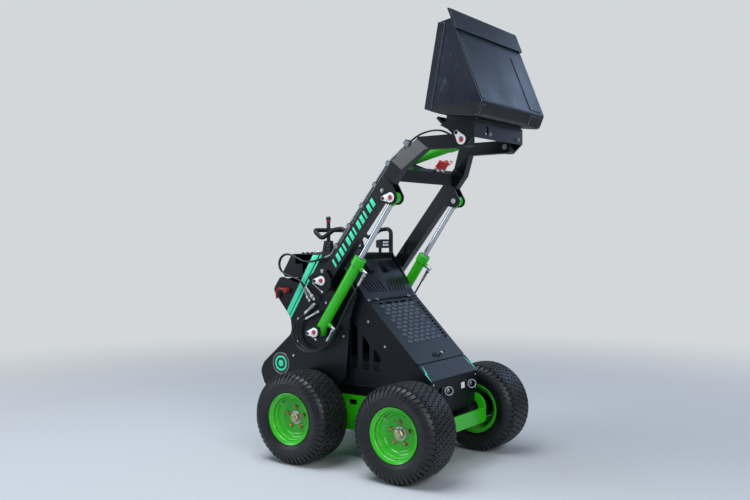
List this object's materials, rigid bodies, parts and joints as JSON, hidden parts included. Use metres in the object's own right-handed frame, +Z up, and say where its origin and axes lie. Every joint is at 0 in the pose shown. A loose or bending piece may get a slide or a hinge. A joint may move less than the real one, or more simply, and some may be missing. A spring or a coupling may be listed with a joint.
{
  "type": "electric skid steer loader",
  "caption": "Wheeled mini skid steer loader with a battery drive, a lifting boom, a tilting bucket on a quick coupler and a hinged hood.",
  "frame": {"origin": "on the ground under the middle of the wheelbase, in the middle plane", "axes": "+X towards the front, +Y to the loader's left, +Z up"},
  "size_m": [1.5387, 1.094, 2.3966],
  "materials": {
    "tyre_rubber": "rough",
    "green_paint": "gloss",
    "zinc_steel": "satin",
    "black_cast": "satin",
    "chrome_rod": "polished",
    "battery_case": "satin",
    "black_tube": "satin",
    "black_plastic": "matte",
    "red_plastic": "gloss",
    "worn_black": "worn",
    "hose_rubber": "matte",
    "black_paint": "satin"
  },
  "bodies": {
    "chassis": {"battery_pack": "battery_case", "belly_tub": "black_paint", "console_box": "black_paint", "drive_motors": "black_cast", "frame_pins": "zinc_steel", "front_cowl": "black_paint", "handlebar": "black_tube", "hose_boom_inner": "hose_rubber", "hose_boom_outer": "hose_rubber", "hose_fittings": "zinc_steel", "hose_lift_left_base": "hose_rubber", "hose_lift_left_rod": "hose_rubber", "hose_lift_right_base": "hose_rubber", "hose_lift_right_rod": "hose_rubber", "isolator_handle": "red_plastic", "joysticks": "black_plastic", "nose_panel": "black_paint", "rear_panel": "black_paint", "side_panel_left": "black_paint", "side_panel_right": "black_paint", "top_deck": "black_paint", "tower_left": "black_paint", "tower_right": "black_paint", "undercarriage": "green_paint", "work_lamps": "black_plastic"},
    "boom": {"boom_arm_left": "black_paint", "boom_arm_right": "black_paint", "boom_cross_member": "black_paint", "boom_pins": "zinc_steel", "arm_pipes": "zinc_steel"},
    "coupler": {"coupler_frame": "worn_black", "bucket_shell": "worn_black", "bucket_cutting_edge": "worn_black", "coupler_pins": "zinc_steel"},
    "hood": {"hood_lid": "black_paint"},
    "tilt_cylinder": {"tilt_barrel": "green_paint"},
    "tilt_piston": {"tilt_rod": "chrome_rod"},
    "lift_cylinder_left": {"lift_barrel_left": "green_paint", "port_fittings_left": "zinc_steel"},
    "lift_piston_left": {"lift_rod_left": "chrome_rod"},
    "lift_cylinder_right": {"lift_barrel_right": "green_paint", "port_fittings_right": "zinc_steel"},
    "lift_piston_right": {"lift_rod_right": "chrome_rod"},
    "wheel_front_left": {"tyre_front_left": "tyre_rubber", "rim_front_left": "green_paint", "hub_front_left": "zinc_steel"},
    "wheel_front_right": {"tyre_front_right": "tyre_rubber", "rim_front_right": "green_paint", "hub_front_right": "zinc_steel"},
    "wheel_rear_left": {"tyre_rear_left": "tyre_rubber", "rim_rear_left": "green_paint", "hub_rear_left": "zinc_steel"},
    "wheel_rear_right": {"tyre_rear_right": "tyre_rubber", "rim_rear_right": "green_paint", "hub_rear_right": "zinc_steel"}
  },
  "joints": [
    {"name": "boom_lift", "type": "hinge", "parent": "chassis", "child": "boom", "pos_m": [-0.235, 0, 1.013], "axis": [0, -1, 0], "range_deg": [-86, 0]},
    {"name": "bucket_tilt", "type": "hinge", "parent": "boom", "child": "coupler", "pos_m": [0.60307, 0, 1.74841], "axis": [0, 1, 0], "range_deg": [0, 140]},
    {"name": "hood_open", "type": "hinge", "parent": "chassis", "child": "hood", "pos_m": [-0.00446, 0, 0.90354], "axis": [0, -1, 0], "range_deg": [0, 70]},
    {"name": "lift_swing_left", "type": "hinge", "parent": "chassis", "child": "lift_cylinder_left", "pos_m": [-0.288, 0.3275, 0.722], "axis": [0, -1, 0], "range_deg": [-69.98, 0.3], "deforming": ["hose_lift_left_base", "hose_lift_left_rod"]},
    {"name": "lift_slide_left", "type": "slide", "parent": "lift_cylinder_left", "child": "lift_piston_left", "axis": [0.5703, 0, 0.8214], "range_m": [-0.35143, 0.001]},
    {"name": "lift_swing_right", "type": "hinge", "parent": "chassis", "child": "lift_cylinder_right", "pos_m": [-0.288, -0.3275, 0.722], "axis": [0, -1, 0], "range_deg": [-69.98, 0.3], "deforming": ["hose_lift_right_base", "hose_lift_right_rod"]},
    {"name": "lift_slide_right", "type": "slide", "parent": "lift_cylinder_right", "child": "lift_piston_right", "axis": [0.5703, 0, 0.8214], "range_m": [-0.35143, 0.001]},
    {"name": "tilt_swing", "type": "hinge", "parent": "boom", "child": "tilt_cylinder", "pos_m": [0.038, 0, 1.664], "axis": [0, -1, 0], "range_deg": [-0.71, 0.5]},
    {"name": "tilt_slide", "type": "slide", "parent": "tilt_cylinder", "child": "tilt_piston", "axis": [0.9715, 0, 0.2371], "range_m": [-0.001, 0.27936]},
    {"name": "spin_front_left", "type": "hinge", "parent": "chassis", "child": "wheel_front_left", "pos_m": [0.3475, 0.42, 0.254], "axis": [0, 1, 0], "continuous": true},
    {"name": "spin_front_right", "type": "hinge", "parent": "chassis", "child": "wheel_front_right", "pos_m": [0.3475, -0.42, 0.254], "axis": [0, 1, 0], "continuous": true},
    {"name": "spin_rear_left", "type": "hinge", "parent": "chassis", "child": "wheel_rear_left", "pos_m": [-0.3475, 0.42, 0.254], "axis": [0, 1, 0], "continuous": true},
    {"name": "spin_rear_right", "type": "hinge", "parent": "chassis", "child": "wheel_rear_right", "pos_m": [-0.3475, -0.42, 0.254], "axis": [0, 1, 0], "continuous": true}
  ],
  "couplings": [
    {"joint": "lift_swing_left", "follows": "boom_lift", "ratio": 0.81023},
    {"joint": "lift_slide_left", "follows": "boom_lift", "m_per_rad": 0.23346},
    {"joint": "lift_swing_right", "follows": "boom_lift", "ratio": 0.81023},
    {"joint": "lift_slide_right", "follows": "boom_lift", "m_per_rad": 0.23346},
    {"joint": "tilt_swing", "follows": "bucket_tilt", "ratio": -0.0014964},
    {"joint": "tilt_slide", "follows": "bucket_tilt", "m_per_rad": 0.11392}
  ]
}
